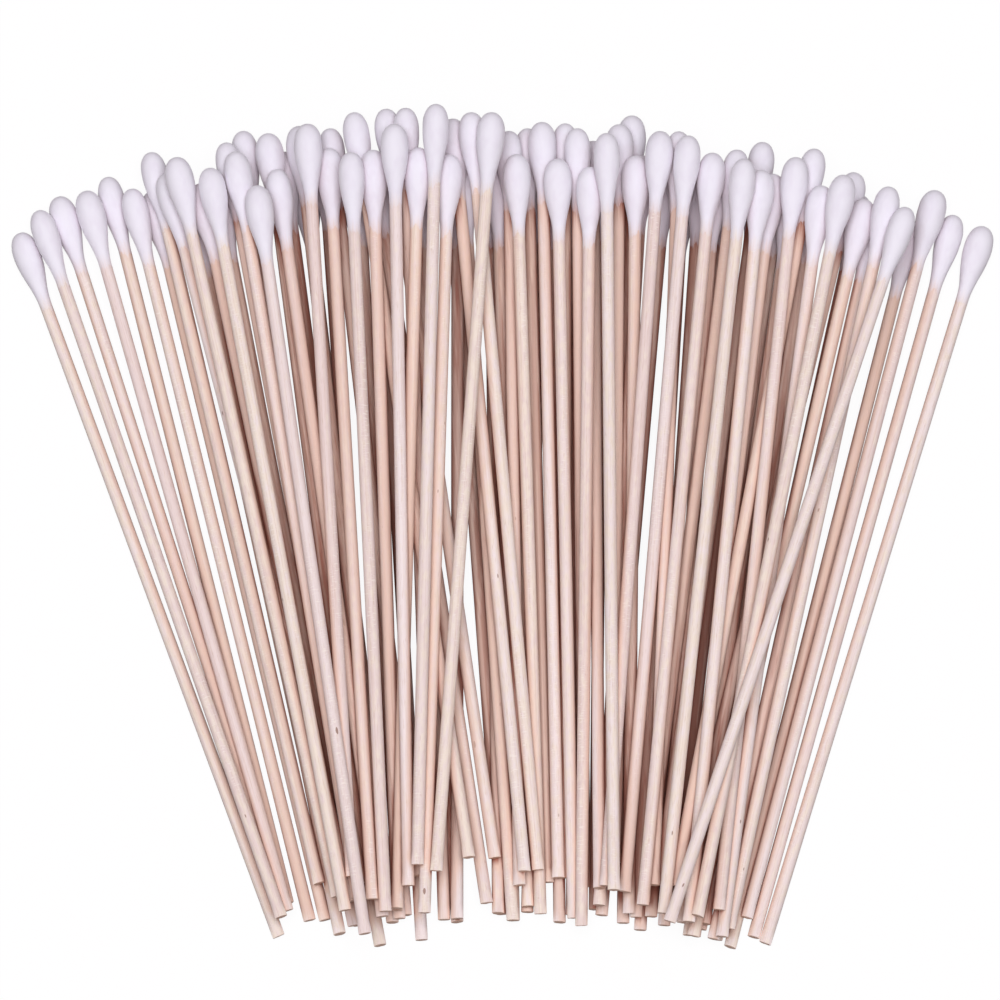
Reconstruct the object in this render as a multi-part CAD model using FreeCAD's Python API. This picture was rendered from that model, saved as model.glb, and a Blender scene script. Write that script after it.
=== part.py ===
import FreeCAD, Part
import math
import os

# A loose fanned heap of long cotton swabs lying on a table. Sizes are in millimetres.
# The swabs point along the Y axis: cotton buds at +Y, cut ends at -Y, and Z is up.

# One swab.
SWAB_LENGTH = 152.4        # bud tip to cut end, six inches
STICK_DIAMETER = 2.5
CUT_EDGE_BREAK = 0.12      # small chamfer round the cut end
BUD_DIAMETER = 5.5
BUD_LENGTH = 15.5
BUD_WIDEST_AT = 4.6        # from the bud's tip to its widest place
BUD_LIP = 0.14             # cotton thickness where the bud ends on the stick
STICK_INSET = 2.2          # from the bud's tip to the end of the stick inside it
BORE_FIT = 0.02            # gap all round between the stick and the bore in the bud
BUD_SIZE_SPREAD = 0.05     # hand-wound buds differ by up to this share of their size

# How the swabs lie on one another.
REST_GAP = 0.08            # gap left where one swab rests on another
STATION_STEP = 2.0         # spacing along the stick where resting heights are worked out
BUD_STATIONS = 32          # places along the bud where they are worked out
TAIL_POINTS = 9            # points that draw the bud's tail curve
BALANCE_SHARE = 0.48       # balance point from the bud's tip, as a share of the length
ROLL_STEP = 0.5            # each end may roll aside by whole steps to lie lower
ROLL_STEPS = 1             # most steps either way
VIEW_ELEVATION = 79.0      # the photo looks down on the heap at this angle, in degrees
VIEW_PASSES = 2            # a swab is set back for the view by the height of the last pass

# Where each swab is seen in the photo: its bud tip across (X) and up the picture (Y),
# both from the middle of the fan, and its lean in degrees. A plus lean carries the
# cut end towards +X. Each layer is laid on the ones before it.
LAYERS = {
    "table": [
        (-96.8, 59.0, 20.2), (-88.6, 66.3, 17.7), (-79.3, 70.3, 14.0),
        (-70.3, 67.5, 13.4), (-65.2, 72.3, 12.2), (-62.2, 66.3, 11.6),
        (-51.0, 64.1, 10.2), (-43.4, 75.3, 7.2), (-39.6, 69.9, 6.8),
        (-36.2, 75.3, 4.0), (-30.1, 72.1, 4.0), (-19.3, 70.7, 4.0),
        (-10.5, 72.3, 4.1), (-2.6, 72.3, 0.6), (8.2, 73.1, -1.1),
        (15.5, 72.5, -0.5), (25.7, 70.9, -0.5), (36.8, 69.3, -3.4),
        (39.7, 72.3, -3.5), (44.8, 72.3, -4.7), (51.8, 72.7, -6.6),
        (56.5, 70.3, -8.1), (61.1, 66.7, -8.5), (76.4, 64.1, -12.5),
        (83.0, 61.5, -14.2), (91.3, 62.6, -15.6),
    ],
    "second": [
        (-92.5, 63.6, 18.9), (-83.1, 67.5, 15.3), (-73.9, 67.9, 13.8),
        (-59.8, 68.9, 11.6), (-57.4, 68.7, 10.9), (-28.2, 72.3, 3.2),
        (-25.3, 67.7, 3.4), (-16.9, 72.1, 2.3), (-9.2, 72.3, 0.0),
        (-8.2, 72.3, 3.8), (-0.6, 72.3, 1.0), (3.0, 74.3, 1.1),
        (9.6, 71.8, 0.6), (20.1, 73.9, -0.7), (33.9, 72.3, -5.4),
        (36.4, 72.9, -3.4), (42.6, 71.3, -4.0), (59.1, 67.9, -8.0),
        (62.5, 69.3, -8.1), (73.0, 66.5, -12.8), (87.1, 67.5, -14.7),
        (97.7, 60.3, -17.4),
    ],
    "third": [
        (-71.0, 75.1, 13.4), (-66.8, 70.9, 14.4), (-55.8, 76.8, 10.8),
        (-52.5, 79.5, 8.5), (-46.4, 78.9, 7.4), (-41.2, 80.3, 6.3),
        (-34.4, 79.9, 6.8), (-26.1, 74.3, 8.8), (-9.3, 81.7, 5.1),
        (1.6, 79.3, 0.6), (4.8, 79.9, 1.9), (12.4, 80.9, 0.0),
        (26.9, 82.6, -1.4), (29.1, 74.5, -3.4), (36.2, 79.1, -2.0),
        (47.0, 75.5, -6.8), (52.3, 77.2, -8.0), (55.2, 70.5, -7.4),
        (62.6, 75.7, -10.8), (71.7, 70.9, -14.0), (73.5, 65.7, -13.2),
        (75.0, 64.8, -12.6),
    ],
    "fourth": [
        (-64.7, 73.9, 12.4), (-53.8, 75.1, 9.4), (-45.5, 71.7, 8.5),
        (-29.1, 83.0, 8.8), (-23.7, 83.4, 8.5), (-19.1, 84.0, 1.7),
        (2.6, 74.7, 2.0), (18.5, 77.4, 0.6), (24.3, 80.5, -0.6),
        (43.0, 74.7, -5.4), (52.7, 71.3, -6.0), (63.8, 68.5, -7.7),
        (77.4, 68.1, -12.4),
    ],
    "top": [
        (-58.9, 71.7, 10.8), (-49.4, 68.3, 8.3), (-38.3, 80.5, 3.1),
        (-34.0, 75.9, 3.0), (-29.5, 74.9, 2.3), (-25.1, 75.5, 1.7),
        (-20.8, 80.3, 1.1), (-15.9, 75.9, -2.0), (-13.4, 84.4, -1.0),
        (-9.9, 74.9, -1.8), (-6.6, 82.8, 5.1), (8.2, 81.1, 1.4),
        (11.3, 73.9, 1.0), (14.8, 79.9, 0.7), (17.3, 72.3, -0.3),
        (20.6, 78.5, 0.5), (26.5, 74.5, -0.2), (32.5, 79.1, -4.6),
        (38.1, 78.3, -4.9), (49.2, 73.3, -6.2), (58.7, 74.1, -6.0),
        (68.3, 70.3, -11.3), (80.7, 64.1, -18.3),
    ],
    "crossing": [(-2.2, 82.8, -4.2)],
}

# The fan is parted into sectors by where the bud tips lie across it.
SECTORS = [
    ("far_left", -58.0),
    ("left", -24.5),
    ("middle", 11.8),
    ("right", 46.0),
    ("far_right", None),
]


def sector_of(tip_x):
    for name, right_limit in SECTORS:
        if right_limit is None or tip_x < right_limit:
            return name


def bud_size_of(tip_x):
    # A repeatable spread of bud sizes from where the swab lies across the fan.
    return 1.0 + BUD_SIZE_SPREAD * math.sin(2.4 * tip_x)


def bud_radius(along, size):
    # Outer radius of the cotton at a distance from the bud's tip.
    widest = BUD_DIAMETER / 2 * size
    lip = STICK_DIAMETER / 2 + BORE_FIT + BUD_LIP
    if along <= BUD_WIDEST_AT:
        share = (BUD_WIDEST_AT - along) / BUD_WIDEST_AT
        return widest * math.sqrt(max(0.0, 1 - share * share))
    share = (along - BUD_WIDEST_AT) / (BUD_LENGTH - BUD_WIDEST_AT)
    return lip + (widest - lip) * (1 + math.cos(math.pi * share)) / 2


class Swab:
    """One swab: where it lies in plan, and the height of its axis at both ends."""

    def __init__(self, tip_x, seen_y, lean):
        self.size = bud_size_of(tip_x)
        self.seen_y = seen_y
        self.tip_z = 0.0
        self.slope = 0.0
        self.aim(tip_x, lean)
        self.set_back()

    def set_back(self):
        # What lies higher is seen further up the picture, so it is set back by that much.
        tilt = math.radians(VIEW_ELEVATION)
        self.tip_y = (self.seen_y - self.tip_z * math.cos(tilt)) / math.sin(tilt)

    def aim(self, tip_x, lean):
        self.tip_x = tip_x
        self.lean = lean
        self.run_x = math.sin(math.radians(lean))
        self.run_y = -math.cos(math.radians(lean))

    def point(self, along):
        return (self.tip_x + self.run_x * along, self.tip_y + self.run_y * along)

    def height(self, along):
        return self.tip_z + self.slope * along

    def radius(self, along):
        if along < BUD_LENGTH:
            return bud_radius(along, self.size)
        return STICK_DIAMETER / 2

    def place(self):
        # Local frame: the swab's axis along +X with the bud's tip at the origin.
        run = FreeCAD.Vector(self.run_x, self.run_y, self.slope)
        turn = FreeCAD.Rotation(FreeCAD.Vector(1, 0, 0), run)
        return FreeCAD.Placement(FreeCAD.Vector(self.tip_x, self.tip_y, self.tip_z), turn)


def stations():
    bud_steps = [BUD_LENGTH * i / BUD_STATIONS for i in range(BUD_STATIONS + 1)]
    count = int((SWAB_LENGTH - BUD_LENGTH) / STATION_STEP)
    spacing = (SWAB_LENGTH - BUD_LENGTH) / count
    return bud_steps + [BUD_LENGTH + spacing * (i + 1) for i in range(count)]


def may_touch(swab, lower):
    # Whether the two swabs' paths come near enough in plan to meet after rolling.
    reach = BUD_DIAMETER * (1 + BUD_SIZE_SPREAD) + 2 * ROLL_STEP * ROLL_STEPS
    sides = []
    for along in (0.0, SWAB_LENGTH):
        x, y = swab.point(along)
        sides.append((x - lower.tip_x) * lower.run_y - (y - lower.tip_y) * lower.run_x)
    return min(sides) < reach and max(sides) > -reach


def height_over(swab, along, lower):
    # Height that the axis needs at one station to clear one swab below it.
    x, y = swab.point(along)
    reach_x = x - lower.tip_x
    reach_y = y - lower.tip_y
    abreast = reach_x * lower.run_x + reach_y * lower.run_y
    aside = abs(reach_x * lower.run_y - reach_y * lower.run_x)
    widest = BUD_DIAMETER * (1 + BUD_SIZE_SPREAD)
    if aside > widest or abreast < -widest or abreast > SWAB_LENGTH + widest:
        return None
    own = swab.radius(along) + REST_GAP
    best = None
    places = [min(max(abreast, 0.0), SWAB_LENGTH)]
    if abreast < BUD_LENGTH + widest:
        steps = range(BUD_STATIONS + 1)
        places = places + [BUD_LENGTH * i / BUD_STATIONS for i in steps]
    for place in places:
        apart = math.hypot(aside, abreast - place)
        touch = own + lower.radius(place)
        if apart < touch:
            needed = lower.height(place) + math.sqrt(touch * touch - apart * apart)
            if best is None or needed > best:
                best = needed
    return best


def rest_line(swab, below, places):
    # Height of the tip and slope of the axis when the swab rests on the table and on
    # the swabs below it. The resting line is the edge of the upper hull of the needed
    # heights that spans the balance point.
    needs = []
    for along in places:
        needed = swab.radius(along) if along > 0 else 0.0
        for lower in below:
            over = height_over(swab, along, lower)
            if over is not None and over > needed:
                needed = over
        needs.append((along, needed))
    hull = []
    for point in needs:
        while len(hull) > 1:
            (ax, az), (bx, bz) = hull[-2], hull[-1]
            if (bx - ax) * (point[1] - az) - (bz - az) * (point[0] - ax) >= 0:
                hull.pop()
            else:
                break
        hull.append(point)
    balance = BALANCE_SHARE * SWAB_LENGTH
    for (ax, az), (bx, bz) in zip(hull, hull[1:]):
        if ax <= balance <= bx:
            slope = (bz - az) / (bx - ax)
            return az - slope * ax, slope


def rest_height(swab, below, places):
    # Height of the balance point when the swab rests where the plan puts it.
    near = [lower for lower in below if may_touch(swab, lower)]
    tip_z, slope = rest_line(swab, near, places)
    return tip_z + slope * BALANCE_SHARE * SWAB_LENGTH


def lay_down(swab, below, places, coarse_places):
    # Let each end roll a little aside into the lowest place, then rest the swab there.
    plan_tip_x = swab.tip_x
    plan_lean = swab.lean
    rolls = [ROLL_STEP * i for i in range(-ROLL_STEPS, ROLL_STEPS + 1)]
    rolls.sort(key=abs)
    for view_pass in range(VIEW_PASSES):
        swab.set_back()
        near = [lower for lower in below if may_touch(swab, lower)]
        best = None
        for tip_roll in rolls:
            for end_roll in rolls:
                turn = math.degrees((end_roll - tip_roll) / SWAB_LENGTH)
                swab.aim(plan_tip_x + tip_roll, plan_lean + turn)
                tip_z, slope = rest_line(swab, near, coarse_places)
                height = tip_z + slope * BALANCE_SHARE * SWAB_LENGTH
                if best is None or height < best[0] - 1e-9:
                    best = (height, swab.tip_x, swab.lean)
        swab.aim(best[1], best[2])
        swab.tip_z, swab.slope = rest_line(swab, near, places)


def make_stick(swab):
    radius = STICK_DIAMETER / 2
    length = SWAB_LENGTH - STICK_INSET
    run = FreeCAD.Vector(1, 0, 0)
    start = FreeCAD.Vector(STICK_INSET, 0, 0)
    stick = Part.makeCylinder(radius, length - CUT_EDGE_BREAK, start, run)
    end = FreeCAD.Vector(SWAB_LENGTH - CUT_EDGE_BREAK, 0, 0)
    cone = Part.makeCone(radius, radius - CUT_EDGE_BREAK, CUT_EDGE_BREAK, end, run)
    return stick.fuse(cone)


def make_bud(swab):
    widest = BUD_DIAMETER / 2 * swab.size
    bore = STICK_DIAMETER / 2 + BORE_FIT
    tip = FreeCAD.Vector(0, 0, 0)
    nose_share = math.sqrt(0.5)
    nose_middle = FreeCAD.Vector(BUD_WIDEST_AT * (1 - nose_share), widest * nose_share, 0)
    shoulder = FreeCAD.Vector(BUD_WIDEST_AT, widest, 0)
    nose = Part.BSplineCurve()
    nose.interpolate(
        Points=[tip, nose_middle, shoulder],
        Tangents=[FreeCAD.Vector(0, widest * 1.5, 0),
                  FreeCAD.Vector(BUD_WIDEST_AT, widest, 0),
                  FreeCAD.Vector(BUD_WIDEST_AT * 1.5, 0, 0)],
        TangentFlags=[True, False, True])
    tail_run = BUD_LENGTH - BUD_WIDEST_AT
    tail_points = []
    for i in range(TAIL_POINTS):
        along = BUD_WIDEST_AT + tail_run * i / (TAIL_POINTS - 1)
        tail_points.append(FreeCAD.Vector(along, bud_radius(along, swab.size), 0))
    tail = Part.BSplineCurve()
    tail.interpolate(Points=tail_points, InitialTangent=FreeCAD.Vector(1, 0, 0),
                     FinalTangent=FreeCAD.Vector(1, 0, 0))
    mouth = FreeCAD.Vector(BUD_LENGTH, bore, 0)
    bore_end = FreeCAD.Vector(STICK_INSET - BORE_FIT, bore, 0)
    bore_middle = FreeCAD.Vector(STICK_INSET - BORE_FIT, 0, 0)
    edges = [
        nose.toShape(),
        tail.toShape(),
        Part.makeLine(tail_points[-1], mouth),
        Part.makeLine(mouth, bore_end),
        Part.makeLine(bore_end, bore_middle),
        Part.makeLine(bore_middle, tip),
    ]
    face = Part.Face(Part.Wire(edges))
    return face.revolve(tip, FreeCAD.Vector(1, 0, 0), 360)


def lay_all():
    heap = []
    groups = {}
    places = stations()
    coarse_places = places[::4] + places[-1:]
    for layer, plan in LAYERS.items():
        waiting = [Swab(*spot) for spot in plan]
        while waiting:
            # The swab that would lie lowest goes down next.
            swab = min(waiting, key=lambda one: rest_height(one, heap, coarse_places))
            waiting.remove(swab)
            name = layer + "_" + sector_of(swab.tip_x)
            lay_down(swab, heap, places, coarse_places)
            heap.append(swab)
            groups.setdefault(name, []).append(swab)
    return groups


def main():
    os.makedirs("parts", exist_ok=True)
    shapes = {}
    for name, swabs in lay_all().items():
        sticks = []
        buds = []
        for swab in swabs:
            stick = make_stick(swab)
            stick.Placement = swab.place()
            bud = make_bud(swab)
            bud.Placement = swab.place()
            sticks.append(stick)
            buds.append(bud)
        shapes[name + "_sticks"] = Part.makeCompound(sticks)
        shapes[name + "_buds"] = Part.makeCompound(buds)
    whole = Part.makeCompound(list(shapes.values()))
    box = whole.optimalBoundingBox(False)
    shift = FreeCAD.Vector(-box.Center.x, -box.Center.y, -box.ZMin)
    for name, shape in shapes.items():
        shape.translate(shift)
        shape.exportStep(os.path.join("parts", name + ".step"))
    print("swabs", sum(len(plan) for plan in LAYERS.values()))
    print("size", round(box.XLength, 2), round(box.YLength, 2), round(box.ZLength, 2))


main()
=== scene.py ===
import math

import bpy
import numpy as np
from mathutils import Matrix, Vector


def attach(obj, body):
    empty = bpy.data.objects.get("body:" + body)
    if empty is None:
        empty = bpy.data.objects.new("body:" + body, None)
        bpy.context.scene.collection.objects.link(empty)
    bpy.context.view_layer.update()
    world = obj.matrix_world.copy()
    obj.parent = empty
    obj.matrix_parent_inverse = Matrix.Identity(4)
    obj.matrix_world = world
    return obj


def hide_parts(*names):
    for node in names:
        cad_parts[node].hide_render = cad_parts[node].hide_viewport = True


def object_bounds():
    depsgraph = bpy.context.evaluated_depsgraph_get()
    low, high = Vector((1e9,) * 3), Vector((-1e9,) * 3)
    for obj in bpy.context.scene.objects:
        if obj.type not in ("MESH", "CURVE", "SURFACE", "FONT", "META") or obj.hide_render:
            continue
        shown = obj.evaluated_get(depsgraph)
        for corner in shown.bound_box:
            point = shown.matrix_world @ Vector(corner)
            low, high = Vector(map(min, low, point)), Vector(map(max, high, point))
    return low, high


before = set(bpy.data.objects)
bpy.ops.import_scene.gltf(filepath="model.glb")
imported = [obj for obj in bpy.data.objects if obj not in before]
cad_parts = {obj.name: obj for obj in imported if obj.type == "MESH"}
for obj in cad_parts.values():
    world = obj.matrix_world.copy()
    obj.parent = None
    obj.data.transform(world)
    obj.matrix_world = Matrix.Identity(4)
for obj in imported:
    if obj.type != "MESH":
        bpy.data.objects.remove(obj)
cad_box = [list(corner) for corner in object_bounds()]

# The heap's layout. Every swab is one birch stick with one cotton bud wound on it. The packed
# solids hold them in groups by layer and sector, and say where each swab lies.

MM = 0.001
GROUP_NAMES = sorted(name[:-len("_sticks")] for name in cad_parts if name.endswith("_sticks"))
RING_REACH = 0.05 * MM      # points this near a stick's end along its axis belong to its end ring
UP = np.array([0.0, 0.0, 1.0])
chance = np.random.default_rng(2024)


def solids_of(node):
    """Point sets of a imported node's solids, one array a solid.

    Corners in one place become one point. Each point starts with its own label and takes the
    lowest label among the triangles round it until nothing changes, so a solid ends with one.
    """
    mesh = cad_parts[node].data
    corners = np.empty(len(mesh.vertices) * 3, np.float32)
    mesh.vertices.foreach_get("co", corners)
    points, same = np.unique(corners.reshape(-1, 3), axis=0, return_inverse=True)
    loops = np.empty(len(mesh.loops), np.int32)
    mesh.loops.foreach_get("vertex_index", loops)
    triangles = same.ravel()[loops].reshape(-1, 3)
    labels = np.arange(len(points))
    settled = False
    while not settled:
        lowest = labels.copy()
        np.minimum.at(lowest, triangles, labels[triangles].min(axis=1, keepdims=True))
        lowest = lowest[lowest]
        settled = np.array_equal(lowest, labels)
        labels = lowest
    return [points[labels == label].astype(float) for label in np.unique(labels)]


def read_stick(points):
    """Bud end, cut end and radius of a stick: the longest direction of its points is its axis,
    the points nearest both ends along it are its end rings, and their middles are the ends."""
    middle = points.mean(axis=0)
    axis = np.linalg.svd(points - middle, full_matrices=False)[2][0]
    axis = axis * np.sign(-axis[1])
    along = (points - middle) @ axis
    bud_ring = points[along < along.min() + RING_REACH]
    cut_ring = points[along > along.max() - RING_REACH]
    bud_end = bud_ring.mean(axis=0)
    radius = np.linalg.norm(bud_ring - bud_end, axis=1).max()
    return bud_end, cut_ring.mean(axis=0), radius


def read_group(name):
    """The swabs of one group as arrays, one row a swab: bud tip, unit run towards the cut end,
    unit vectors aside and above it, whole length, stick radius and widest bud radius."""
    buds = solids_of(name + "_buds")
    bud_middles = np.array([bud.mean(axis=0) for bud in buds])
    rows = []
    for points in solids_of(name + "_sticks"):
        bud_end, cut_end, stick_radius = read_stick(points)
        run = (cut_end - bud_end) / np.linalg.norm(cut_end - bud_end)
        off_axis = np.linalg.norm(np.cross(bud_middles - bud_end, run), axis=1)
        reach = buds[off_axis.argmin()] - bud_end
        tip = bud_end + run * (reach @ run).min()
        bud_radius = np.linalg.norm(np.cross(reach, run), axis=1).max()
        aside = np.cross(run, UP)
        aside = aside / np.linalg.norm(aside)
        length = np.linalg.norm(cut_end - tip)
        inset = np.linalg.norm(bud_end - tip)
        rows.append((tip, run, aside, np.cross(aside, run), length, inset, stick_radius, bud_radius))
    keys = ("tip", "run", "aside", "above", "length", "inset", "stick_radius", "bud_radius")
    swabs = {key: np.array(column) for key, column in zip(keys, zip(*rows))}
    count = len(rows)
    swabs["tone"] = chance.random(count)
    swabs["roll"] = chance.random(count) * 2 * math.pi
    swabs["grain_start"] = chance.random(count) * 4000
    return swabs


groups = {name: read_group(name) for name in GROUP_NAMES}
heap = {key: np.concatenate([swabs[key] for swabs in groups.values()]) for key in groups[GROUP_NAMES[0]]}

# Painted shade: every point of a swab gets a share, from 0 in the open to 1 where other swabs shut out
# the light from above, and the materials paint the wood and the cotton darker by it.
LIGHT_LEANS = np.radians(np.arange(-70, 71, 10))    # leans from upright of the light that is followed
BUD_FULL_FROM = 5.0 * MM    # a bud blocks light with its full radius from here, past its round nose
BUD_FULL_TO = 8.0 * MM      # to here, both from its tip
BUD_GONE_AT = 16.0 * MM     # and only the stick blocks it from here on


def shut_in(points, outward, owners):
    """How far other swabs shut each point in, from 0 to 1, which the materials paint as shade. Light
    comes down across the fan at each of the leans and counts by its cosine to the outward
    direction. It is lost where it meets the round section of another swab at the point's own
    distance up the fan."""
    far = (points[:, 1, None] - heap["tip"][:, 1]) / heap["run"][:, 1]
    reach_x = heap["tip"][:, 0] + heap["run"][:, 0] * far - points[:, 0, None]
    reach_z = heap["tip"][:, 2] + heap["run"][:, 2] * far - points[:, 2, None]
    cotton_share = np.clip((BUD_GONE_AT - far) / (BUD_GONE_AT - BUD_FULL_TO), 0, 1)
    radius = heap["stick_radius"] + (heap["bud_radius"] - heap["stick_radius"]) * cotton_share
    before_nose = 1 - np.clip(far / BUD_FULL_FROM, 0, 1)
    radius = radius * np.sqrt(1 - before_nose ** 2)
    others = owners[:, None] != np.arange(len(heap["length"]))
    there = others & (far > 0) & (far < heap["length"])
    fallen = np.zeros(len(points))
    lost = np.zeros(len(points))
    for lean in LIGHT_LEANS:
        ahead = reach_x * math.sin(lean) + reach_z * math.cos(lean)
        aside = np.abs(reach_x * math.cos(lean) - reach_z * math.sin(lean))
        met = (there & (ahead > 0) & (aside < radius)).any(axis=1)
        weight = np.maximum(outward[:, 0] * math.sin(lean) + outward[:, 2] * math.cos(lean), 0)
        fallen += weight
        lost += weight * met
    return np.where(fallen > 0.05, lost / np.maximum(fallen, 0.05), 1.0)


def painted_shade_of(swabs, points, turn):
    """shut_in, the share of painted shade, for the rings of a group of round skins, from their points
    and angles round them.
    """
    spread = (slice(None), None, None, slice(None))
    outward = (swabs["aside"][spread] * np.cos(turn)[..., None]
               + swabs["above"][spread] * np.sin(turn)[..., None])
    owners = np.abs(heap["tip"][None, :, :] - swabs["tip"][:, None, :]).sum(axis=2).argmin(axis=1)
    owners = np.repeat(owners, points.shape[1] * points.shape[2])
    return shut_in(points.reshape(-1, 3), outward.reshape(-1, 3), owners).reshape(turn.shape)


# Birch sticks. Each is a thin round dowel of pale birch, milled from a strip, and sawn off at one
# end. The other end sits inside the cotton. The dowels are never quite round or quite smooth.

STICK_SIDES = 28
STICK_RINGS = 56
OUT_OF_ROUND = 0.006        # share of the radius by which a dowel swells and thins
EDGE_BREAK = 0.10 * MM      # worn edge round the cut end
END_RINGS = 4               # rings on the sawn face
MOST_SLANT = 0.12           # steepest slope of a sawn face
SAW_ROUGHNESS = 0.02 * MM


def on_swab(swabs, along, radius, turn):
    """Points in space from distance along the swab, radius and angle round it: the tip, plus the
    run times the distance, plus the radius on the circle of the aside and above vectors."""
    spread = (slice(None), None, None, slice(None))
    out = (swabs["aside"][spread] * np.cos(turn)[..., None]
           + swabs["above"][spread] * np.sin(turn)[..., None])
    return swabs["tip"][spread] + swabs["run"][spread] * along[..., None] + out * radius[..., None]


def shell_faces(rings, sides, count):
    """Quads of a skin of rings, closed by a fan of triangles to the first point and another to the
    last, for each of count shells whose points follow one another: first, rings by sides, last."""
    ring, side = np.meshgrid(np.arange(rings - 1), np.arange(sides), indexing="ij")
    beside = (side + 1) % sides
    here = 1 + ring * sides + side
    across = 1 + ring * sides + beside
    quads = np.stack([here, here + sides, across + sides, across], axis=-1).reshape(-1, 4)
    around = np.arange(sides)
    after = (around + 1) % sides
    last = 1 + rings * sides
    first_fan = np.stack([np.zeros(sides, int), 1 + around, 1 + after], axis=-1)
    final_ring = last - sides
    last_fan = np.stack([np.full(sides, last), final_ring + after, final_ring + around], axis=-1)
    offsets = (np.arange(count) * (last + 1))[:, None, None]
    shells = [(part[None] + offsets).reshape(-1, part.shape[1]).tolist()
              for part in (quads, first_fan, last_fan)]
    return shells[0] + shells[1] + shells[2]


def shell_points(rings, first, last):
    """Rows of points for shell_faces: the first pole, the rings and the last pole of each shell."""
    count = len(rings)
    return np.concatenate([first[:, None], rings.reshape(count, -1, rings.shape[-1]), last[:, None]],
                          axis=1)


def make_piece(name, points, faces, fields):
    """A smooth mesh object at the origin from points and faces, with a named field on its points
    for each entry of fields: a number or a vector for each point."""
    mesh = bpy.data.meshes.new(name)
    mesh.from_pydata(points.reshape(-1, 3).tolist(), [], faces)
    mesh.polygons.foreach_set("use_smooth", np.ones(len(mesh.polygons), bool))
    for field, values in fields.items():
        if values.shape[-1] == 3 and values.ndim > 2:
            layer = mesh.attributes.new(field, "FLOAT_VECTOR", "POINT")
            layer.data.foreach_set("vector", values.astype(np.float32).ravel())
        else:
            layer = mesh.attributes.new(field, "FLOAT", "POINT")
            layer.data.foreach_set("value", values.astype(np.float32).ravel())
    mesh.validate()
    piece = bpy.data.objects.new(name, mesh)
    bpy.context.scene.collection.objects.link(piece)
    return piece


def grain_place(swabs, along, radius, turn):
    """Place inside the swab's own dowel in millimetres: across by the rolled angle, and along from
    a start of its own, so that no two dowels share their grain."""
    spread = (slice(None), None, None)
    rolled = turn + swabs["roll"][spread]
    far = along / MM + swabs["grain_start"][spread]
    return np.stack([radius / MM * np.cos(rolled), radius / MM * np.sin(rolled), far], axis=-1)


def make_sticks(name, swabs):
    """The dowels of one group. Radius along the side: the stick radius, times one plus two slow
    sine waves. The sawn face is a plane that slopes a little, with a worn edge and saw roughness."""
    count = len(swabs["tip"])
    spread = (slice(None), None, None)
    turn = np.broadcast_to(np.arange(STICK_SIDES) * 2 * math.pi / STICK_SIDES,
                           (count, STICK_RINGS + 1 + END_RINGS, STICK_SIDES))
    length = swabs["length"][spread]
    full = swabs["stick_radius"][spread]
    side_share = np.linspace(0, 1, STICK_RINGS)
    face_share = np.linspace(1, 1 / END_RINGS, END_RINGS)
    on_side = np.concatenate([side_share, np.ones(1 + END_RINGS)])[None, :, None]
    waves = chance.random((4, count, 1, 1)) * 2 * math.pi
    swell = (np.sin(2 * turn + 9 * on_side + waves[0]) + np.sin(17 * on_side + waves[1])) / 2
    radius = full * (1 - OUT_OF_ROUND + OUT_OF_ROUND * swell)
    broken = np.concatenate([np.ones(STICK_RINGS), [1], face_share])[None, :, None]
    radius = np.where(np.arange(STICK_RINGS + 1 + END_RINGS)[None, :, None] > STICK_RINGS,
                      (radius - EDGE_BREAK) * broken, radius)
    start = swabs["inset"][spread]
    along = start + (length - EDGE_BREAK - start) * on_side
    slant = chance.random((count, 1, 1)) ** 2 * MOST_SLANT
    slope = slant * (radius * np.cos(turn - waves[2]) - full)
    rough = SAW_ROUGHNESS * np.sin(5 * turn + waves[3]) * np.sin(60 * broken + 2 * waves[3])
    at_end = np.concatenate([np.zeros(STICK_RINGS - 1), np.ones(2 + END_RINGS)])[None, :, None]
    on_face = np.concatenate([np.zeros(STICK_RINGS + 1), np.ones(END_RINGS)])[None, :, None]
    along = along + at_end * slope + on_face * (EDGE_BREAK + rough - SAW_ROUGHNESS)
    middle_turn = np.zeros((count, 1, 1))
    bud_end = swabs["inset"][spread] + middle_turn
    face_middle = length - slant * full
    skin = on_swab(swabs, along, radius, turn)
    points = shell_points(skin, on_swab(swabs, bud_end, middle_turn, middle_turn)[:, 0, 0],
                          on_swab(swabs, face_middle, middle_turn, middle_turn)[:, 0, 0])
    places = grain_place(swabs, along + 0 * turn, radius, turn)
    places = shell_points(places, grain_place(swabs, bud_end, middle_turn, middle_turn)[:, 0, 0],
                          grain_place(swabs, face_middle, middle_turn, middle_turn)[:, 0, 0])
    sawn = shell_points((on_face + 0 * turn)[..., None], np.zeros((count, 1)), np.ones((count, 1)))
    # Painted shade: the share by which other swabs shut each point of the dowel off from the light.
    painted_shade = shell_points(painted_shade_of(swabs, skin, turn)[..., None], np.ones((count, 1)), np.zeros((count, 1)))
    tone = np.repeat(swabs["tone"], points.shape[1])
    faces = shell_faces(STICK_RINGS + 1 + END_RINGS, STICK_SIDES, count)
    fields = {"birch_place": places, "birch_tone": tone, "birch_sawn": sawn.ravel(),
              "painted_shade": painted_shade.ravel()}
    return make_piece("birch_sticks_" + name, points, faces, fields)


PALE_BIRCH = (0.870, 0.752, 0.750, 1)
ROSY_BIRCH = (0.800, 0.645, 0.625, 1)
STRAW_BIRCH = (0.865, 0.740, 0.650, 1)
GRAIN_BROWN = (0.560, 0.360, 0.270, 1)
KNOT_BROWN = (0.230, 0.100, 0.060, 1)
SAWN_BIRCH = (0.700, 0.460, 0.340, 1)
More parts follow.
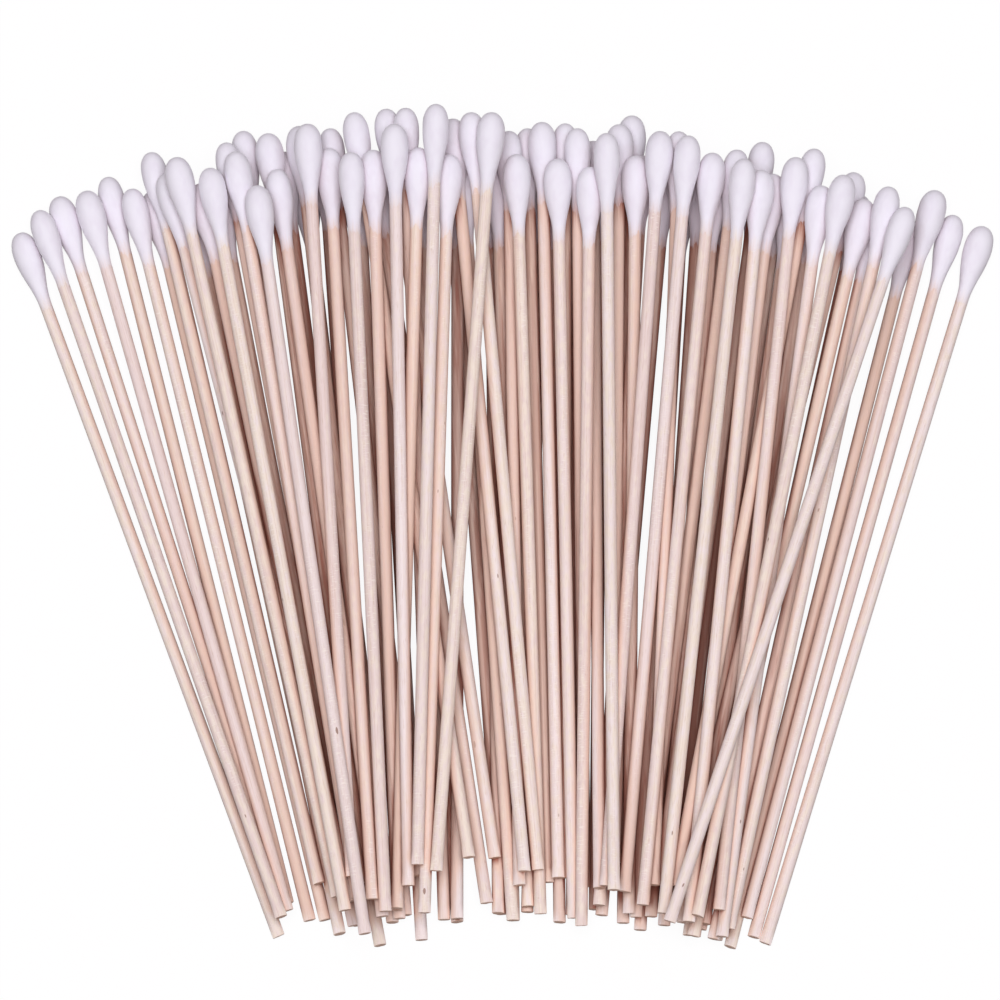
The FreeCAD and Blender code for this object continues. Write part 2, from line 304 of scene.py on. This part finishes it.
# pale mill marks across the dowel; their paler colour is partly a painted highlight on the ridges
MARK_CREAM_AND_HIGHLIGHT = (0.920, 0.820, 0.770, 1)
PAINTED_SHADE_ROSE = (0.780, 0.530, 0.430, 1)    # painted shade: wood where its neighbours begin to shut out the light
PAINTED_SHADE_BROWN = (0.300, 0.060, 0.028, 1)   # painted shade: wood deep between the sticks
PAINTED_SHADE_MIDDLE = 0.56
BIRCH_ROUGHNESS = 0.60
BIRCH_SPECULAR = 0.10
KNOT_FROM = 0.858
KNOT_TO = 0.890


def put_node(tree, kind, inputs, **settings):
    """Adds a node, sets its settings, and links or sets each input by its name or number."""
    node = tree.nodes.new(kind)
    for setting, value in settings.items():
        setattr(node, setting, value)
    for key, value in inputs.items():
        if isinstance(value, bpy.types.NodeSocket):
            tree.links.new(value, node.inputs[key])
        else:
            node.inputs[key].default_value = value
    return node


def calc(tree, operation, *values):
    """Result socket of a Math node."""
    return put_node(tree, "ShaderNodeMath", dict(enumerate(values)), operation=operation).outputs[0]


def blend_colours(tree, share, first, second):
    """Result socket of a colour mix that goes from first at share 0 to second at share 1."""
    mix = put_node(tree, "ShaderNodeMix", {0: share, 6: first, 7: second}, data_type="RGBA")
    return mix.outputs[2]


def step_between(tree, value, low, high):
    """Smooth rise of a value from 0 at low to 1 at high."""
    ramp = put_node(tree, "ShaderNodeMapRange", {"Value": value, "From Min": low, "From Max": high},
                    interpolation_type="SMOOTHSTEP")
    return ramp.outputs["Result"]


def stretched_noise(tree, place, across, along, detail):
    """Noise that changes across times a millimetre over the dowel, and along times down it."""
    stretched = put_node(tree, "ShaderNodeMapping", {"Vector": place, "Scale": (across, across, along)})
    noise = put_node(tree, "ShaderNodeTexNoise",
                     {"Vector": stretched.outputs[0], "Scale": 1.0, "Detail": detail})
    return noise.outputs["Fac"]


def make_birch_grain():
    """Shared group, used on the sticks and on the thin tails of the buds: pale birch with long fine
    streaks, short dark pores, rare knots and short pale marks across, left by the dowel mill, whose
    paler colour is partly a painted highlight on their ridges. It also paints shade, rose and then
    deep brown, where other swabs shut out the light."""
    tree = bpy.data.node_groups.new("birch grain", "ShaderNodeTree")
    tree.interface.new_socket("Place", in_out="INPUT", socket_type="NodeSocketVector")
    tree.interface.new_socket("Tone", in_out="INPUT", socket_type="NodeSocketFloat")
    tree.interface.new_socket("Painted Shade", in_out="INPUT", socket_type="NodeSocketFloat")
    tree.interface.new_socket("Colour", in_out="OUTPUT", socket_type="NodeSocketColor")
    tree.interface.new_socket("Height", in_out="OUTPUT", socket_type="NodeSocketFloat")
    given = tree.nodes.new("NodeGroupInput")
    place = given.outputs["Place"]
    tone = given.outputs["Tone"]

    streaks = stretched_noise(tree, place, 3.0, 0.05, 2.0)
    bands = stretched_noise(tree, place, 0.45, 0.012, 1.0)
    mottle = stretched_noise(tree, place, 1.1, 0.40, 2.0)
    pores = stretched_noise(tree, place, 8.0, 0.45, 1.0)
    chatter_highlight_rows = stretched_noise(tree, place, 0.8, 4.0, 1.0)
    chatter_highlight_patches = stretched_noise(tree, place, 0.25, 0.03, 0.0)
    knots = stretched_noise(tree, place, 0.9, 0.30, 0.0)

    warm = step_between(tree, calc(tree, "ADD", bands, calc(tree, "MULTIPLY", tone, 0.5)), 0.45, 1.0)
    wood = blend_colours(tree, warm, PALE_BIRCH, ROSY_BIRCH)
    strawy = calc(tree, "MULTIPLY", calc(tree, "FRACT", calc(tree, "MULTIPLY", tone, 7.3)), 0.3)
    straw = step_between(tree, calc(tree, "ADD", mottle, strawy), 0.50, 0.95)
    wood = blend_colours(tree, straw, wood, STRAW_BIRCH)
    streaked = calc(tree, "MULTIPLY", step_between(tree, streaks, 0.45, 0.75), 0.26)
    wood = blend_colours(tree, streaked, wood, GRAIN_BROWN)
    pored = calc(tree, "MULTIPLY", step_between(tree, pores, 0.58, 0.72), 0.30)
    wood = blend_colours(tree, pored, wood, GRAIN_BROWN)
    # Short pale mill marks across the dowel with a real bump; their paler colour is partly a painted
    # highlight on the ridges.
    chatter_and_highlight = calc(tree, "MULTIPLY", step_between(tree, chatter_highlight_rows, 0.56, 0.70),
                   step_between(tree, chatter_highlight_patches, 0.50, 0.62))
    wood = blend_colours(tree, calc(tree, "MULTIPLY", chatter_and_highlight, 0.60), wood, MARK_CREAM_AND_HIGHLIGHT)
    knotted = calc(tree, "MULTIPLY", step_between(tree, knots, KNOT_FROM, KNOT_TO), 0.75)
    wood = blend_colours(tree, knotted, wood, KNOT_BROWN)
    # Painted shade: the wood turns rose and then deep brown where other swabs shut out the light.
    painted_shade = given.outputs["Painted Shade"]
    rose_shade_share = calc(tree, "MULTIPLY", step_between(tree, painted_shade, 0.10, PAINTED_SHADE_MIDDLE), 0.75)
    wood = blend_colours(tree, rose_shade_share, wood, PAINTED_SHADE_ROSE)
    brown_shade_share = calc(tree, "MULTIPLY", step_between(tree, painted_shade, PAINTED_SHADE_MIDDLE, 1.0), 0.85)
    wood = blend_colours(tree, brown_shade_share, wood, PAINTED_SHADE_BROWN)

    height = calc(tree, "SUBTRACT", calc(tree, "MULTIPLY", streaks, -0.6), pored)
    height = calc(tree, "SUBTRACT", height, calc(tree, "MULTIPLY", chatter_and_highlight, 0.5))
    result = tree.nodes.new("NodeGroupOutput")
    tree.links.new(wood, result.inputs["Colour"])
    tree.links.new(height, result.inputs["Height"])
    return tree


birch_grain = make_birch_grain()


def add_birch_grain(tree):
    """The birch grain group in a material, fed with the fields that every stick and bud carries,
    the painted shade share among them.
    """
    place = put_node(tree, "ShaderNodeAttribute", {}, attribute_name="birch_place")
    tone = put_node(tree, "ShaderNodeAttribute", {}, attribute_name="birch_tone")
    painted_shade = put_node(tree, "ShaderNodeAttribute", {}, attribute_name="painted_shade")
    grain = put_node(tree, "ShaderNodeGroup", {}, node_tree=birch_grain)
    tree.links.new(place.outputs["Vector"], grain.inputs["Place"])
    tree.links.new(tone.outputs["Fac"], grain.inputs["Tone"])
    tree.links.new(painted_shade.outputs["Fac"], grain.inputs["Painted Shade"])
    return grain, place.outputs["Vector"]


def new_material(name):
    """An empty node material and its output node."""
    material = bpy.data.materials.new(name)
    material.use_nodes = True
    material.node_tree.nodes.clear()
    return material, material.node_tree, material.node_tree.nodes.new("ShaderNodeOutputMaterial")


def make_birch_material():
    """Milled birch: the shared grain, and on the sawn face warmer end grain with growth rings."""
    material, tree, output = new_material("pale milled birch")
    grain, place = add_birch_grain(tree)
    sawn = put_node(tree, "ShaderNodeAttribute", {}, attribute_name="birch_sawn").outputs["Fac"]
    rings = put_node(tree, "ShaderNodeTexWave",
                     {"Vector": place, "Scale": 0.9, "Distortion": 2.5, "Detail": 2.0},
                     bands_direction="X")
    ring_share = calc(tree, "MULTIPLY", rings.outputs["Fac"], 0.35)
    end_grain = blend_colours(tree, ring_share, SAWN_BIRCH, GRAIN_BROWN)
    colour = blend_colours(tree, calc(tree, "MULTIPLY", sawn, 0.75), grain.outputs["Colour"], end_grain)
    bump = put_node(tree, "ShaderNodeBump",
                    {"Height": grain.outputs["Height"], "Strength": 0.6, "Distance": 0.05 * MM})
    shader = put_node(tree, "ShaderNodeBsdfPrincipled",
                      {"Base Color": colour, "Roughness": BIRCH_ROUGHNESS,
                       "Specular IOR Level": BIRCH_SPECULAR,
                       "Normal": bump.outputs[0]})
    tree.links.new(shader.outputs[0], output.inputs["Surface"])
    return material


birch = make_birch_material()

for name, swabs in groups.items():
    sticks = make_sticks(name, swabs)
    sticks.data.materials.append(birch)
    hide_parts(name + "_sticks")
    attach(sticks, "root")


# Cotton buds. Each is a wisp of bleached cotton wound on the stick: a rounded nose, a belly near
# the tip, and a tail that thins until the birch shows through. A few fibres stand off it.

BUD_SIDES = 36
NOSE_RINGS = 13
TAIL_RINGS = 26
BELLY_AT = 4.6 * MM         # from the tip to the widest place
NOSE_POWER = 0.90           # 1 is a plain ellipse, and less is blunter
TAIL_END = 18.6 * MM        # from the tip to where the last fibres lie flat on the stick
TAIL_RAGGED = 0.8 * MM      # how far that end wanders round the stick
TAIL_SINK = 0.045 * MM      # how far its ragged end sinks into the stick
TAIL_THIN_AT = 15.5 * MM    # from the tip to where the wound cotton is down to a skin
TAIL_SKIN = 0.30 * MM       # thickness of that skin before it thins along the tail
SOFT_LUMPS = 0.045 * MM
WINDING_RIDGES = 0.010 * MM
LUMP_WAVES = ((2, 1.3), (3, 2.1), (1, 3.7), (4, 4.9))     # turns round, and waves along, the bud
RIDGE_WAVES = ((9, 7.0), (13, 11.0), (11, -6.0))


def wave_sum(waves, phases, turn, share):
    """Mean of sine waves, each with its whole number of turns round the bud and its waves along."""
    total = 0.0
    for (turns, lengths), phase in zip(waves, phases):
        total = total + np.sin(turns * turn + 2 * math.pi * lengths * share + phase)
    return total / len(waves)


def bud_skin(swabs, phases, turn, share):
    """Distance along and radius of the cotton. Share 0 to 1 is the nose, a quarter of an ellipse
    made a little blunter by NOSE_POWER, from the tip to the belly. Share 1 to 2 is the tail: half a cosine wave from the belly to a thin skin at
    the swab's bud length, which then thins evenly to nothing on the stick. Soft lumps and winding
    ridges, sums of sine waves, ride on both and fade at the tip and the tail."""
    spread = (slice(None), None, None)
    belly = swabs["bud_radius"][spread]
    stick = swabs["stick_radius"][spread] - TAIL_SINK
    angle = np.clip(share, 0, 1) * math.pi / 2
    tail = np.clip(share - 1, 0, 1)
    end = TAIL_END + TAIL_RAGGED * wave_sum(((3, 0), (5, 0), (8, 0)), phases[:3], turn, 0)
    along = BELLY_AT * (1 - np.abs(np.cos(angle)) ** NOSE_POWER) + (end - BELLY_AT) * tail
    nose_radius = belly * np.sin(angle) ** NOSE_POWER
    wound = np.clip((along - BELLY_AT) / (TAIL_THIN_AT - BELLY_AT), 0, 1)
    tail_radius = stick + (belly - stick) * (1 + np.cos(math.pi * wound)) / 2
    tail_radius = tail_radius + TAIL_SKIN * wound * (1 - tail)
    radius = np.where(share <= 1, nose_radius, tail_radius)
    fade = np.sin(angle) * np.clip((1 - tail) * 2.2, 0, 1)
    lumps = wave_sum(LUMP_WAVES, phases[3:7], turn, share / 2)
    ridges = wave_sum(RIDGE_WAVES, phases[7:10], turn, share / 2)
    return along, radius + fade * (SOFT_LUMPS * (lumps - 0.6) + WINDING_RIDGES * ridges)


COTTON_COVER_FROM = 11.5 * MM   # the cotton covers the wood fully up to here
COTTON_COVER_TO = 18.6 * MM     # and is gone by here
FIBRES = 44                 # loose fibres that stand off each bud
FIBRE_RINGS = 4
FIBRE_RADIUS = 0.010 * MM
FIBRE_SHORTEST = 0.35 * MM
FIBRE_LONGEST = 1.1 * MM
FIBRE_LIFT = 0.32           # how far a fibre's end stands off, as a share of its length


def make_fibres(swabs, phases):
    """Loose fibres as three-sided tapered tubes. A fibre leaves the skin at a random place, runs
    along the winding for its length and lifts with the square of the distance run."""
    count = len(swabs["tip"])
    turn = chance.random((count, FIBRES, 1)) * 2 * math.pi
    share = 0.25 + chance.random((count, FIBRES, 1)) * 1.2
    length = FIBRE_SHORTEST + (FIBRE_LONGEST - FIBRE_SHORTEST) * chance.random((count, FIBRES, 1))
    way = chance.normal(0, 0.9, (count, FIBRES, 1))
    lift = FIBRE_LIFT * chance.random((count, FIBRES, 1))
    along, radius = bud_skin(swabs, phases, turn, share)
    run = np.linspace(0, 1, FIBRE_RINGS)[None, None, :]
    path_along = along + length * np.cos(way) * run
    path_turn = turn + length * np.sin(way) * run / radius
    sink = 2 * FIBRE_RADIUS
    slope = np.where(share > 1, -0.12, 0.0) * length * np.cos(way) * run
    path_radius = radius - sink + slope + length * lift * run ** 2
    path = on_swab(swabs, path_along, path_radius, path_turn)
    corner = np.arange(3) * 2 * math.pi / 3
    outward = path - on_swab(swabs, path_along, 0 * path_radius, path_turn)
    outward = outward / np.linalg.norm(outward, axis=-1, keepdims=True)
    ahead = path[:, :, -1:] - path[:, :, :1]
    ahead = ahead / np.linalg.norm(ahead, axis=-1, keepdims=True)
    sideways = np.cross(ahead, outward)
    thick = FIBRE_RADIUS * (1 - 0.7 * run)[..., None, None]
    ring = (outward[..., None, :] * np.cos(corner)[:, None]
            + sideways[..., None, :] * np.sin(corner)[:, None])
    tubes = path[..., None, :] + ring * thick
    tubes = tubes.reshape(count * FIBRES, FIBRE_RINGS, 3, 3)
    tubes[..., 2] = np.maximum(tubes[..., 2], cad_box[0][2])
    first = path[:, :, 0].reshape(-1, 3)
    last = path[:, :, -1].reshape(-1, 3)
    last[:, 2] = np.maximum(last[:, 2], cad_box[0][2])
    points = shell_points(tubes, first, last)
    places = np.repeat(grain_place(swabs, along, radius, turn).reshape(-1, 1, 3), points.shape[1], axis=1)
    tone = np.repeat(swabs["tone"], FIBRES * points.shape[1])
    return points, shell_faces(FIBRE_RINGS, 3, count * FIBRES), places, tone


def make_buds(name, swabs):
    """The wound cotton of one group: the skin of bud_skin on a grid, turned in under its ragged
    end and closed inside the stick, with the loose fibres on it."""
    count = len(swabs["tip"])
    spread = (slice(None), None, None)
    phases = chance.random((10, count, 1, 1)) * 2 * math.pi
    nose = np.linspace(0, 1, NOSE_RINGS + 1)[1:]
    tail = 1 + np.linspace(0, 1, TAIL_RINGS + 1)[1:]
    share = np.concatenate([nose, tail])[None, :, None]
    rings = NOSE_RINGS + TAIL_RINGS
    turn = np.broadcast_to(np.arange(BUD_SIDES) * 2 * math.pi / BUD_SIDES, (count, rings, BUD_SIDES))
    along, radius = bud_skin(swabs, phases, turn, share)
    under = np.full((count, 1, BUD_SIDES), 1.0) * swabs["stick_radius"][spread] * 0.93
    along = np.concatenate([along, along[:, -1:] - 0.05 * MM], axis=1)
    radius = np.concatenate([radius, under], axis=1)
    turn = np.concatenate([turn, turn[:, -1:]], axis=1)
    zero = np.zeros((count, 1, 1))
    inside = np.full((count, 1, 1), TAIL_END)
    skin = on_swab(swabs, along, radius, turn)
    points = shell_points(skin, on_swab(swabs, zero, zero, zero)[:, 0, 0],
                          on_swab(swabs, inside, zero, zero)[:, 0, 0])
    places = shell_points(grain_place(swabs, along, radius, turn),
                          grain_place(swabs, zero, zero, zero)[:, 0, 0],
                          grain_place(swabs, inside, zero, zero)[:, 0, 0])
    # Painted shade: the share by which other swabs shut each point of the cotton off from the light.
    painted_shade = shell_points(painted_shade_of(swabs, skin, turn)[..., None], np.zeros((count, 1)), np.ones((count, 1)))
    thin = (along - COTTON_COVER_FROM) / (COTTON_COVER_TO - COTTON_COVER_FROM)
    bare = np.clip(thin, 0, 1)
    bare = shell_points(bare[..., None], np.zeros((count, 1)), np.ones((count, 1))).ravel()
    tone = np.repeat(swabs["tone"], points.shape[1])
    faces = shell_faces(rings + 1, BUD_SIDES, count)

    fibre_points, fibre_faces, fibre_places, fibre_tone = make_fibres(swabs, phases)
    skin_total = points.shape[0] * points.shape[1]
    faces = faces + [[corner + skin_total for corner in face] for face in fibre_faces]
    fibre_bare = np.zeros(len(fibre_tone))
    all_points = np.concatenate([points.reshape(-1, 3), fibre_points.reshape(-1, 3)])
    all_places = np.concatenate([places.reshape(-1, 3), fibre_places.reshape(-1, 3)])
    fields = {"birch_place": all_places[None], "birch_tone": np.concatenate([tone, fibre_tone]),
              "cotton_bare": np.concatenate([bare, fibre_bare]),
              "painted_shade": np.concatenate([painted_shade.ravel(), fibre_bare])}
    return make_piece("cotton_buds_" + name, all_points, faces, fields)


COTTON_WHITE = (0.850, 0.810, 0.890, 1)
COTTON_SHADE = (0.820, 0.770, 0.860, 1)
COTTON_PAINTED_SHADE = (0.700, 0.600, 0.660, 1)  # painted shade: cotton deep between the buds


def make_cotton_material():
    """Bleached cotton: a soft lilac white with faint wound fibres, painted with lilac-grey shade where
    other swabs shut out the light, and on the thin tail a change to the birch grain under it that
    runs out in wisps along the stick."""
    material, tree, output = new_material("wound white cotton")
    grain, place = add_birch_grain(tree)
    bare = put_node(tree, "ShaderNodeAttribute", {}, attribute_name="cotton_bare").outputs["Fac"]
    wisps = stretched_noise(tree, place, 2.6, 0.16, 1.0)
    fluff = stretched_noise(tree, place, 0.7, 0.35, 1.0)
    fine = stretched_noise(tree, place, 5.0, 2.2, 1.0)
    cotton = blend_colours(tree, step_between(tree, fluff, 0.35, 0.80), COTTON_WHITE, COTTON_SHADE)
    # Painted shade: the cotton turns lilac-grey where other swabs shut out the light.
    painted_shade = put_node(tree, "ShaderNodeAttribute", {}, attribute_name="painted_shade").outputs["Fac"]
    cotton = blend_colours(tree, step_between(tree, painted_shade, 0.2, 1.2), cotton, COTTON_PAINTED_SHADE)
    edge = calc(tree, "ADD", bare, calc(tree, "MULTIPLY", calc(tree, "SUBTRACT", wisps, 0.5), 0.45))
    shows = step_between(tree, edge, 0.20, 1.05)
    colour = blend_colours(tree, shows, cotton, grain.outputs["Colour"])
    bump = put_node(tree, "ShaderNodeBump", {"Height": fine, "Strength": 0.25, "Distance": 0.05 * MM})
    shader = put_node(tree, "ShaderNodeBsdfPrincipled",
                      {"Base Color": colour, "Roughness": 0.95, "Specular IOR Level": 0.15,
                       "Sheen Weight": 0.35, "Sheen Roughness": 0.45, "Normal": bump.outputs[0]})
    tree.links.new(shader.outputs[0], output.inputs["Surface"])
    return material


cotton = make_cotton_material()

for name, swabs in groups.items():
    buds = make_buds(name, swabs)
    buds.data.materials.append(cotton)
    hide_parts(name + "_buds")
    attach(buds, "root")


# The table is a plain pale sheet, seen as white, that keeps the heap's soft shadow. A broad soft
# lamp stands over the heap beside the camera, and an even light comes from all round.

TABLE_HALF = 5.0
TABLE_GREY = (0.26, 0.24, 0.25, 1)
WHITE_SHARE = 0.75          # share of the table's look that is plain white to the camera
WHITE_GLOW = 1.248
LAMP_COLOUR = (0.98, 1.0, 1.02)
LAMP_STRENGTH = 2.65
LAMP_SPREAD = math.radians(30)
LAMP_ELEVATION = math.radians(84)
FILL_COLOUR = (1.0, 0.88, 0.86, 1)
FILL_STRENGTH = 0.21


def seen_rays(tree):
    """Socket that is 1 for what the camera, a reflection or glass sees, and 0 for other light."""
    path = tree.nodes.new("ShaderNodeLightPath").outputs
    direct = calc(tree, "MAXIMUM", path["Is Camera Ray"], path["Is Glossy Ray"])
    return calc(tree, "MAXIMUM", direct, path["Is Transmission Ray"])


def make_table_material():
    """Pale matt paper that looks white to the camera apart from a share that takes the shadow."""
    material, tree, output = new_material("pale table")
    matt = put_node(tree, "ShaderNodeBsdfDiffuse", {"Color": TABLE_GREY})
    glow = put_node(tree, "ShaderNodeEmission", {"Strength": WHITE_GLOW})
    share = calc(tree, "MULTIPLY", seen_rays(tree), WHITE_SHARE)
    mix = put_node(tree, "ShaderNodeMixShader", {0: share, 1: matt.outputs[0], 2: glow.outputs[0]})
    tree.links.new(mix.outputs[0], output.inputs["Surface"])
    return material


def make_table():
    """A flat square at the height that the lowest sticks lie on."""
    height = cad_box[0][2]
    corners = [(-TABLE_HALF, -TABLE_HALF, height), (TABLE_HALF, -TABLE_HALF, height),
               (TABLE_HALF, TABLE_HALF, height), (-TABLE_HALF, TABLE_HALF, height)]
    mesh = bpy.data.meshes.new("table")
    mesh.from_pydata(corners, [], [(0, 1, 2, 3)])
    mesh.materials.append(make_table_material())
    table = bpy.data.objects.new("table", mesh)
    bpy.context.scene.collection.objects.link(table)


def make_surroundings():
    """White to the camera, and an even, slightly warm light to everything else."""
    world = bpy.data.worlds.new("soft surroundings")
    bpy.context.scene.world = world
    world.use_nodes = True
    tree = world.node_tree
    tree.nodes.clear()
    fill = put_node(tree, "ShaderNodeBackground", {"Color": FILL_COLOUR, "Strength": FILL_STRENGTH})
    white = put_node(tree, "ShaderNodeBackground", {"Color": (1, 1, 1, 1), "Strength": 1.0})
    mix = put_node(tree, "ShaderNodeMixShader",
                   {0: seen_rays(tree), 1: fill.outputs[0], 2: white.outputs[0]})
    output = tree.nodes.new("ShaderNodeOutputWorld")
    tree.links.new(mix.outputs[0], output.inputs["Surface"])


def make_lamp():
    """A wide soft sun over the heap, leaning to the camera's side."""
    data = bpy.data.lights.new("soft lamp", "SUN")
    data.color = LAMP_COLOUR
    data.energy = LAMP_STRENGTH
    data.angle = LAMP_SPREAD
    lamp = bpy.data.objects.new("soft lamp", data)
    lamp.rotation_euler = (math.pi / 2 - LAMP_ELEVATION, 0, 0)
    bpy.context.scene.collection.objects.link(lamp)


make_table()
make_surroundings()
make_lamp()


# The camera looks down on the heap, a little from the side of the cut ends, as in the photograph.
# Its frame is worked out from where the heap's sides stand in the photograph's own pixels.

PHOTO_SIDE = 1000
HEAP_LEFT = 8
HEAP_RIGHT = 997
HEAP_TOP = 105
HEAP_BOTTOM = 946
CAMERA_ELEVATION = math.radians(79)
CAMERA_DISTANCE = 3.0
SENSOR = 36.0


def make_camera():
    """The heap fills the same share of the frame as in the photograph from side to side, and the
    middle between its highest bud tip and its lowest cut end, as seen, lands on the same pixel."""
    low = np.array(cad_box[0])
    high = np.array(cad_box[1])
    middle = (low + high) / 2
    scale = (high[0] - low[0]) / (HEAP_RIGHT - HEAP_LEFT)
    back = np.array([0, -math.cos(CAMERA_ELEVATION), math.sin(CAMERA_ELEVATION)])
    image_up = np.array([0, math.sin(CAMERA_ELEVATION), math.cos(CAMERA_ELEVATION)])
    cut_ends = heap["tip"] + heap["run"] * heap["length"][:, None]
    seen_middle = ((heap["tip"] @ image_up).max() + (cut_ends @ image_up).min()) / 2
    right_by = (PHOTO_SIDE / 2 - (HEAP_LEFT + HEAP_RIGHT) / 2) * scale
    up_by = ((HEAP_TOP + HEAP_BOTTOM) / 2 - PHOTO_SIDE / 2) * scale
    up_by = up_by + seen_middle - middle @ image_up
    aim = middle + np.array([right_by, 0, 0]) + image_up * up_by
    data = bpy.data.cameras.new("photo camera")
    data.sensor_width = SENSOR
    data.lens = SENSOR * CAMERA_DISTANCE / (PHOTO_SIDE * scale)
    data.clip_start = 0.01
    data.clip_end = 50
    camera = bpy.data.objects.new("photo camera", data)
    camera.location = aim + back * CAMERA_DISTANCE
    camera.rotation_euler = (math.pi / 2 - CAMERA_ELEVATION, 0, 0)
    bpy.context.scene.collection.objects.link(camera)
    bpy.context.scene.camera = camera


make_camera()
bpy.context.scene.view_settings.view_transform = "Standard"
